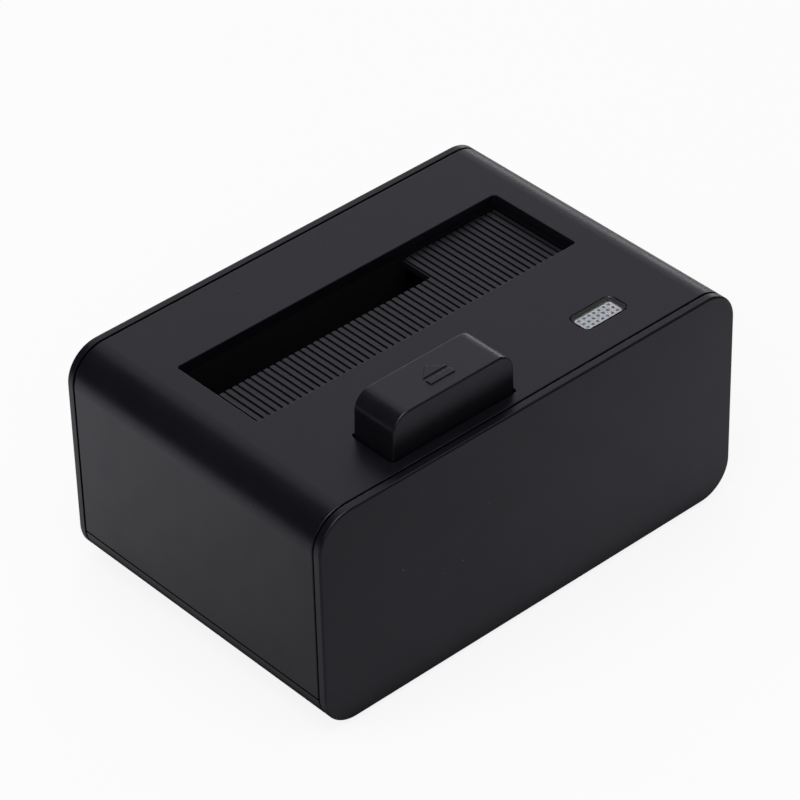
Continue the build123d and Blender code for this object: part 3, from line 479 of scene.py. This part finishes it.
@dataclass(frozen=True)
class Laminate:
    """A lacquered circuit board: tracks show through the lacquer between fields of copper."""

    name: str
    colour: Colour
    track: Colour
    pitch: float = 1.3 * MM
    field_pitches: float = 6
    field_rings: float = 7.0
    track_range: tuple[float, float] = (0.42, 0.5)
    cloud_width: float = 9 * MM
    cloud_shades: tuple[float, float] = (0.8, 1.1)
    gloss_range: tuple[float, float] = (0.28, 0.38)
    relief: float = 0.03 * MM
    edge: float = 0.1 * MM
    coat: float = 0.4
    coat_roughness: float = 0.2

    def material(self) -> bpy.types.Material:
        """The board as a material.

        Returns:
            The material.
        """
        graph = Graph(self.name)
        values = {"Vector": graph.place, "Scale": 1 / (self.field_pitches * self.pitch)}
        fields = graph.add("ShaderNodeTexVoronoi", values, distance="MANHATTAN", feature="F2")
        rings = graph.math("MULTIPLY", fields.outputs["Distance"], self.field_rings)
        tracks = graph.spread(graph.math("FRACT", rings, 0.0), 0.0, 1.0, *self.track_range)
        cloud = graph.noise(self.cloud_width, 3.0)
        dark, light = (shade(self.colour, share) for share in self.cloud_shades)
        ground = graph.mix(graph.spread(cloud, 0.0, 1.0), dark, light)
        colour = graph.mix(tracks, ground, self.track)
        roughness = graph.spread(cloud, *self.gloss_range)
        normal = graph.bump(tracks, self.relief, graph.soften(self.edge))
        graph.give(graph.shader, {"Base Color": colour, "Roughness": roughness, "Normal": normal})
        graph.give(graph.shader, {"Coat Weight": self.coat, "Coat Roughness": self.coat_roughness})
        return graph.material


class Slot(Enum):
    """The record's material slots, each with its finish."""

    CASE = MouldedPlastic(
        "case_plastic", (0.0034, 0.003, 0.0045), roughness=0.33, specular=0.58, specks=0.5,
        tint=(0.85, 0.8, 1.0),
    )
    BAY = MouldedPlastic("bay_plastic", (0.005, 0.0049, 0.0055), roughness=0.6, specular=0.2)
    FLAP = MouldedPlastic(
        "flap_plastic", (0.0036, 0.0033, 0.0044), roughness=0.4, specular=0.78, tint=(0.86, 0.81, 1.0)
    )
    BUTTON = MouldedPlastic(
        "button_plastic", (0.0036, 0.0033, 0.0045), roughness=0.31, specular=0.74, relief=0.004 * MM,
        edge=0.2 * MM, tint=(0.85, 0.8, 1.0),
    )
    CLEAR = ClearPlastic("clear_plastic")
    # the window's dimples carry painted shade
    WHITE = FrostedPlastic(
        "white_plastic", (0.46, 0.45, 0.48), pit_middle=(35.6 * MM, -32.889 * MM),
        pit_pitch=(1.65 * MM, 1.55 * MM),
    )
    GUIDE = ClearPlastic("guide_plastic", (0.88, 0.9, 0.92), roughness=0.16)
    BLUE = MouldedPlastic("blue_plastic", (0.012, 0.11, 0.48), roughness=0.34, drift=0.08)
    INLET = MouldedPlastic("inlet_plastic", (0.012, 0.012, 0.0135), roughness=0.34)
    SOCKET = MouldedPlastic("socket_plastic", (0.016, 0.016, 0.017), roughness=0.4)
    RUBBER = Rubber("rubber", (0.022, 0.022, 0.023))
    STEEL = Metal("steel", (0.72, 0.71, 0.7), roughness=0.26, streaks=(1.0, 1.0, 6.0))
    SPRING = Metal("spring_steel", (0.6, 0.6, 0.61), roughness=0.22)
    SCREW = Metal("dark_screw", (0.1, 0.1, 0.11), roughness=0.38)
    CONTACT = Metal("contact_metal", (0.83, 0.62, 0.29), roughness=0.22, streaks=(1.0, 5.0, 1.0))
    BOARD = Laminate("board_laminate", (0.012, 0.1, 0.045), (0.03, 0.17, 0.07))
    CHIP = MouldedPlastic("chip_black", (0.014, 0.014, 0.015), roughness=0.55, grain=0.12 * MM)
    COIL = MouldedPlastic("coil_ferrite", (0.045, 0.042, 0.04), roughness=0.6, grain=0.2 * MM)
    CERAMIC = MouldedPlastic("ceramic", (0.4, 0.28, 0.16), roughness=0.4, grain=0.2 * MM)
    CAN = Metal("can_aluminium", (0.86, 0.86, 0.87), roughness=0.24, streaks=(1.0, 1.0, 8.0))
    LAMP = ClearPlastic("lamp_resin", (0.9, 0.9, 0.82), roughness=0.2, ior=1.54)
    LEVER = MouldedPlastic("lever_plastic", (0.05, 0.05, 0.054), roughness=0.4)

    @property
    def slot(self) -> str:
        """The slot's name in the record."""
        return self.value.name


@dataclass
class Wardrobe:
    """Makes each finish once and puts it on the CAD nodes and on the new pieces."""

    made: dict[Slot, bpy.types.Material] = field(default_factory=dict)

    def cloth(self, slot: Slot) -> bpy.types.Material:
        """The material of a slot.

        Args:
            slot: The slot.

        Returns:
            Its material, made on first use.
        """
        if slot not in self.made:
            self.made[slot] = slot.value.material()
        return self.made[slot]

    def wear(self, piece: bpy.types.Object, slot: Slot) -> None:
        """Puts a slot's material on all of a piece.

        Args:
            piece: The piece.
            slot: The slot.
        """
        if not piece.material_slots:
            piece.data.materials.append(None)
        for holder in piece.material_slots:
            holder.material = self.cloth(slot)

    def dress_nodes(self) -> None:
        """Gives every CAD node the finish of its slot in the record."""
        slots = {slot.slot: slot for slot in Slot}
        for entry in frame["record"]["subparts"]:
            slot = slots[entry["material_slot"]]
            self.wear(frame["nodes"][entry["node"]], slot)
            log.info("%s wears %s", entry["node"], slot.slot)


def finished(
    name: str, shape: bmesh.types.BMesh, body: str, slot: Slot, wardrobe: Wardrobe
) -> bpy.types.Object:
    """Turns a bmesh into a piece that rides on a body.

    Args:
        name: The piece's name.
        shape: Its shape, in place.
        body: The body that it rides on.
        slot: The material slot that it wears.
        wardrobe: The finishes.

    Returns:
        The piece.
    """
    bmesh.ops.recalc_face_normals(shape, faces=shape.faces)
    mesh = bpy.data.meshes.new(name)
    shape.to_mesh(mesh)
    shape.free()
    piece = bpy.data.objects.new(name, mesh)
    bpy.context.scene.collection.objects.link(piece)
    wardrobe.wear(piece, slot)
    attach(piece, body)
    log.info("%s rides on %s", name, body)
    return piece


@dataclass
class RockerMarks:
    """The two marks printed on the power switch: a stroke for on and a ring for off."""

    ink: float = 0.04 * MM
    stroke_length: float = 1.8 * MM
    stroke_width: float = 0.4 * MM
    corner_share: float = 1 / 3
    corner_segments: int = 4
    ring_radius: float = 1.1 * MM
    ring_width: float = 0.34 * MM
    steps: int = 48
    reach_share: float = 0.47
    above: float = 10 * MM

    def seat(self, upper: bool) -> Matrix:
        """Where a mark lies on the rocker.

        Args:
            upper: Whether it is on the upper half.

        Returns:
            The matrix that puts the mark, drawn about the origin, on the rocker's face.
        """
        rocker = frame["nodes"]["switch_rocker"]
        low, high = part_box("switch_rocker")
        middle = (Vector(low) + Vector(high)) / 2
        reach = (high[2] - low[2]) / 2 * self.reach_share
        start = Vector((middle.x, high[1] + self.above, middle.z + (reach if upper else -reach)))
        _, place, normal, _ = rocker.ray_cast(start, Vector((0.0, -1.0, 0.0)))
        turn = normal.to_track_quat("Z", "Y").to_matrix().to_4x4()
        return Matrix.Translation(place) @ turn

    def stroke(self, wardrobe: Wardrobe) -> bpy.types.Object:
        """The stroke on the end that is pressed for on.

        Args:
            wardrobe: The finishes.

        Returns:
            The piece.
        """
        shape = bmesh.new()
        size = Matrix.Diagonal((self.stroke_width, self.stroke_length, self.ink, 1.0))
        bmesh.ops.create_cube(shape, size=1.0, matrix=size)
        upright = [
            edge for edge in shape.edges if abs((edge.verts[0].co - edge.verts[1].co).z) > self.ink / 2
        ]
        bmesh.ops.bevel(
            shape, geom=upright, offset=self.stroke_width * self.corner_share, affect="EDGES",
            segments=self.corner_segments, profile=0.5, material=-1,
        )
        bmesh.ops.transform(shape, matrix=self.seat(upper=True), verts=shape.verts)
        return finished("rocker_stroke_mark", shape, "rocker", Slot.WHITE, wardrobe)

    def ring(self, wardrobe: Wardrobe) -> bpy.types.Object:
        """The ring on the end that is pressed for off.

        Args:
            wardrobe: The finishes.

        Returns:
            The piece.
        """
        shape = bmesh.new()
        inner, outer = self.ring_radius - self.ring_width, self.ring_radius
        half = self.ink / 2
        corners = ((inner, -half), (outer, -half), (outer, half), (inner, half))
        profile = shape.faces.new([shape.verts.new((x, 0.0, z)) for x, z in corners])
        geometry = [*profile.verts, *profile.edges]
        bmesh.ops.delete(shape, geom=[profile], context="FACES_ONLY")
        bmesh.ops.spin(
            shape, geom=geometry, cent=(0.0, 0.0, 0.0), axis=(0.0, 0.0, 1.0), angle=2 * pi, steps=self.steps,
            use_merge=True,
        )
        bmesh.ops.transform(shape, matrix=self.seat(upper=False), verts=shape.verts)
        return finished("rocker_ring_mark", shape, "rocker", Slot.WHITE, wardrobe)


@dataclass
class ReturnSprings:
    """The two coil springs under the button, copied from their CAD nodes."""

    nodes: tuple[str, ...] = ("button_spring_left", "button_spring_right")
    stroke: float = 6 * MM
    weld: float = 0.001 * MM

    def coil(self, node: str, wardrobe: Wardrobe) -> bpy.types.Object:
        """One spring, copied from its node with its doubled points merged, in the node's place.

        Args:
            node: The node that it stands for.
            wardrobe: The finishes.

        Returns:
            The piece.
        """
        shape = bmesh.new()
        shape.from_mesh(frame["nodes"][node].data)
        bmesh.ops.remove_doubles(shape, verts=shape.verts, dist=self.weld)
        piece = finished(f"{node}_coil", shape, "case", Slot.SPRING, wardrobe)
        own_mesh(piece)
        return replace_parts(piece, node)

    def build(self, wardrobe: Wardrobe) -> None:
        """Makes both springs.

        Args:
            wardrobe: The finishes.
        """
        for node in self.nodes:
            self.coil(node, wardrobe)


@dataclass(frozen=True)
class Softbox:
    """An oblong lamp that shines at the object's middle."""

    name: str
    azimuth: float
    elevation: float
    distance: float
    width: float
    height: float
    power: float
    mirrored: bool = True

    def place(self, target: Vector) -> bpy.types.Object:
        """Hangs the lamp.

        Args:
            target: What it shines at.

        Returns:
            The lamp.
        """
        data = bpy.data.lights.new(self.name, "AREA")
        data.shape = "RECTANGLE"
        data.size, data.size_y = self.width, self.height
        data.energy = self.power
        lamp = bpy.data.objects.new(self.name, data)
        away = direction(self.azimuth, self.elevation)
        lamp.matrix_world = Matrix.Translation(target + away * self.distance) @ facing(away)
        lamp.visible_camera, lamp.visible_glossy = False, self.mirrored
        bpy.context.scene.collection.objects.link(lamp)
        return lamp


def direction(azimuth: float, elevation: float) -> Vector:
    """The way from the object towards a place round it.

    Args:
        azimuth: 0 for the front and 90 for the right side, in degrees.
        elevation: Degrees above the horizon.

    Returns:
        The way, of length 1.
    """
    turn, lift = radians(azimuth), radians(elevation)
    return Vector((sin(turn) * cos(lift), -cos(turn) * cos(lift), sin(lift)))


def facing(away: Vector) -> Matrix:
    """The turn of a lamp or camera that looks back along a way, with its top up."""
    return (-away).to_track_quat("-Z", "Y").to_matrix().to_4x4()


@dataclass
class Studio:
    """The pale floor, the lamps, the world and the camera."""

    floor_radius: float = 3.0
    floor_segments: int = 96
    floor_colour: Colour = (0.8, 0.8, 0.8)
    floor_drop: float = 0.02 * MM
    floor_roughness: float = 0.9
    floor_specular: float = 0.1
    paper_cloud: float = 0.3
    paper_light: float = 1.03
    floor_glow: float = 0.86
    floor_painted_gloss: float = 0.25
    # painted reflection: glossy rays see the floor lighter towards this side and dimmer far from the object
    painted_bright_side: Colour = (0.505, 0.863, 0.0)
    painted_sheen_reach: float = 100 * MM
    painted_sheen_range: tuple[float, float] = (0.3, 0.9)
    painted_fade_reach: tuple[float, float] = (0.16, 0.55)
    # painted shade in the floor's reflection, under the object and beside it, reaching further on the right
    shade_lean: float = 12 * MM
    shade_reach: tuple[float, float] = (-1 * MM, 5 * MM)
    shade_depth: float = 0.12
    ambient: float = 0.4
    mirrored_sky: float = 0.03
    softboxes: tuple[Softbox, ...] = (
        Softbox("overhead_softbox", -20.0, 78.0, 1.3, 1.2, 1.2, 8.0),
        Softbox("left_softbox", -105.0, 35.0, 1.5, 0.8, 0.8, 6.0, mirrored=False),
        Softbox("front_softbox", -37.0, 37.5, 1.6, 1.5, 1.5, 4.0),
        Softbox("rear_softbox", 138.6, 37.5, 1.6, 1.7, 1.5, 3.6),
        Softbox("horizon_softbox", 130.0, 6.0, 1.6, 1.6, 0.3, 3.0),
    )
    azimuth: float = -41.39
    elevation: float = 37.52
    distance: float = 1.0297
    roll: float = -1.5
    sensor: float = 36.0
    filled_share: float = 0.87

    def ray(self, graph: Graph) -> tuple[Socket, Socket]:
        """What kind of ray meets a surface.

        Args:
            graph: The tree that the nodes go into.

        Returns:
            1 for a ray from the camera or by way of glass, and 1 for one by way of gloss.
        """
        path = graph.add("ShaderNodeLightPath", {})
        seen = graph.math("MAXIMUM", path.outputs["Is Camera Ray"], path.outputs["Is Transmission Ray"])
        return seen, path.outputs["Is Glossy Ray"]

    def painted_underside_shade(self, graph: Graph, low: Vector, high: Vector) -> Socket:
        """Painted shade on the floor under the object and close beside it, which only glossy rays see.

        Args:
            graph: The tree that the nodes go into.
            low: The object's lowest corner.
            high: Its highest corner.

        Returns:
            The share of the light that is left.
        """
        place = graph.add("ShaderNodeSeparateXYZ", {"Vector": graph.place})
        half = (high - low) / 2
        outside = []
        for axis, reach, lean in (("X", half.x, self.shade_lean), ("Y", half.y, 0.0)):
            away = graph.math("ABSOLUTE", graph.math("SUBTRACT", place.outputs[axis], lean), 0.0)
            outside.append(graph.math("SUBTRACT", away, reach + lean))
        # painted shade: the floor's reflection darkens under the object and close beside it
        return graph.spread(graph.math("MAXIMUM", *outside), self.shade_depth, 1.0, *self.shade_reach)

    def painted_reflection(self, graph: Graph, low: Vector, high: Vector) -> Socket:
        """The painted reflection that glossy rays find on the floor: darker on one side, far away and, by
        painted shade, under the object.

        Args:
            graph: The tree that the nodes go into.
            low: The object's lowest corner.
            high: Its highest corner.

        Returns:
            The share of the floor's light that is left.
        """
        values = {0: graph.place, 1: self.painted_bright_side}
        across = graph.add("ShaderNodeVectorMath", values, operation="DOT_PRODUCT").outputs["Value"]
        # painted reflection: lighter towards the bright side, fading away from the object
        painted_reflection = graph.spread(across, *self.painted_sheen_range, -self.painted_sheen_reach, self.painted_sheen_reach)
        away = graph.add("ShaderNodeVectorMath", {0: graph.place}, operation="LENGTH").outputs["Value"]
        far = graph.spread(away, 1.0, self.mirrored_sky, *self.painted_fade_reach)
        return graph.math("MULTIPLY", graph.math("MULTIPLY", painted_reflection, far), self.painted_underside_shade(graph, low, high))

    def paper(self, low: Vector, high: Vector) -> bpy.types.Material:
        """The floor's pale paper, which is clear from below and shows glossy rays a painted reflection with
        painted shade near the object.

        Args:
            low: The object's lowest corner.
            high: Its highest corner.

        Returns:
            The material.
        """
        graph = Graph("floor_paper")
        cloud = graph.spread(graph.noise(self.paper_cloud, 3.0), 0.0, 1.0)
        tone = graph.mix(cloud, self.floor_colour, shade(self.floor_colour, self.paper_light))
        seen, gloss = self.ray(graph)
        painted_reflection = self.painted_reflection(graph, low, high)
        # painted shade and painted reflection: for glossy rays the paper darkens where the painted
        # reflection is low
        dark = graph.math("MULTIPLY", gloss, graph.math("SUBTRACT", 1.0, painted_reflection))
        painted_reflection_tone = graph.mix(dark, tone, PAINTED_SHADE_BLACK)
        graph.give(graph.shader, {"Base Color": painted_reflection_tone, "Roughness": self.floor_roughness})
        graph.give(graph.shader, {"Specular IOR Level": self.floor_specular})
        # camera rays see an even white glow; glossy rays see the painted reflection as a glow
        glow = graph.add("ShaderNodeEmission", {"Strength": graph.blend(seen, painted_reflection, 1.0)})
        shares = ((seen, self.floor_glow), (gloss, self.floor_painted_gloss))
        factor = graph.math("MAXIMUM", *(graph.math("MULTIPLY", ray, share) for ray, share in shares))
        values = {0: factor, 1: graph.shader.outputs["BSDF"], 2: glow.outputs["Emission"]}
        paper = graph.add("ShaderNodeMixShader", values).outputs["Shader"]
        behind = graph.add("ShaderNodeNewGeometry", {}).outputs["Backfacing"]
        clear = graph.add("ShaderNodeBsdfTransparent", {}).outputs["BSDF"]
        surface = graph.add("ShaderNodeMixShader", {0: behind, 1: paper, 2: clear})
        graph.give(graph.output, {"Surface": surface.outputs["Shader"]})
        return graph.material

    def floor(self, low: Vector, high: Vector) -> bpy.types.Object:
        """The floor, which shows white and keeps the object's shadow.

        Args:
            low: The object's lowest corner.
            high: Its highest corner.

        Returns:
            The floor.
        """
        shape = bmesh.new()
        bmesh.ops.create_circle(
            shape, cap_ends=True, segments=self.floor_segments, radius=self.floor_radius
        )
        bmesh.ops.translate(shape, verts=shape.verts, vec=(0.0, 0.0, -self.floor_drop))
        mesh = bpy.data.meshes.new("studio_floor")
        shape.to_mesh(mesh)
        shape.free()
        floor = bpy.data.objects.new("studio_floor", mesh)
        bpy.context.scene.collection.objects.link(floor)
        mesh.materials.append(self.paper(low, high))
        floor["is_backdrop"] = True
        return floor

    def sky(self) -> None:
        """A world that is white to look at, dim in gloss as a dark room is, and soft as light."""
        graph = SkyGraph("studio_world")
        bpy.context.scene.world = graph.world
        seen, gloss = self.ray(graph)
        strength = graph.blend(seen, graph.blend(gloss, self.ambient, self.mirrored_sky), 1.0)
        graph.give(graph.shader, {"Color": (1.0, 1.0, 1.0, 1.0), "Strength": strength})

    def lens(self, eye: Matrix, low: Vector, high: Vector) -> float:
        """The focal length at which the object fills its share of the picture.

        Args:
            eye: The camera's matrix.
            low: The object's lowest corner.
            high: Its highest corner.

        Returns:
            The focal length in millimetres.
        """
        corners = [Vector(place) for place in product(*zip(low, high))]
        seen = [eye.inverted() @ corner for corner in corners]
        widest = max(max(abs(corner.x), abs(corner.y)) / -corner.z for corner in seen)
        return self.sensor / 2 * self.filled_share / widest

    def camera(self, low: Vector, high: Vector) -> bpy.types.Object:
        """The camera, at the photograph's angle and distance.

        Args:
            low: The object's lowest corner.
            high: Its highest corner.

        Returns:
            The camera.
        """
        target = (low + high) / 2
        away = direction(self.azimuth, self.elevation)
        eye = Matrix.Translation(target + away * self.distance) @ facing(away)
        eye = eye @ Matrix.Rotation(radians(self.roll), 4, "Z")
        data = bpy.data.cameras.new("studio_camera")
        data.sensor_width = self.sensor
        data.lens = self.lens(eye, low, high)
        camera = bpy.data.objects.new("studio_camera", data)
        camera.matrix_world = eye
        bpy.context.scene.collection.objects.link(camera)
        bpy.context.scene.camera = camera
        log.info("camera lens %.1f mm", data.lens)
        return camera

    def build(self, low: Vector, high: Vector) -> None:
        """Sets up the whole studio round the object.

        Args:
            low: The object's lowest corner.
            high: Its highest corner.
        """
        self.camera(low, high)
        self.floor(low, high)
        self.sky()
        for softbox in self.softboxes:
            softbox.place((low + high) / 2)
        bpy.context.scene.view_settings.view_transform = "Standard"


def main() -> None:
    """Lights and dresses the object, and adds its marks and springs."""
    logging.basicConfig(level=logging.INFO, format="%(message)s")
    low, high = (Vector(corner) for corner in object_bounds())
    Studio().build(low, high)
    wardrobe = Wardrobe()
    wardrobe.dress_nodes()
    marks = RockerMarks()
    marks.stroke(wardrobe)
    marks.ring(wardrobe)
    ReturnSprings().build(wardrobe)


if __name__ == "__main__":
    main()
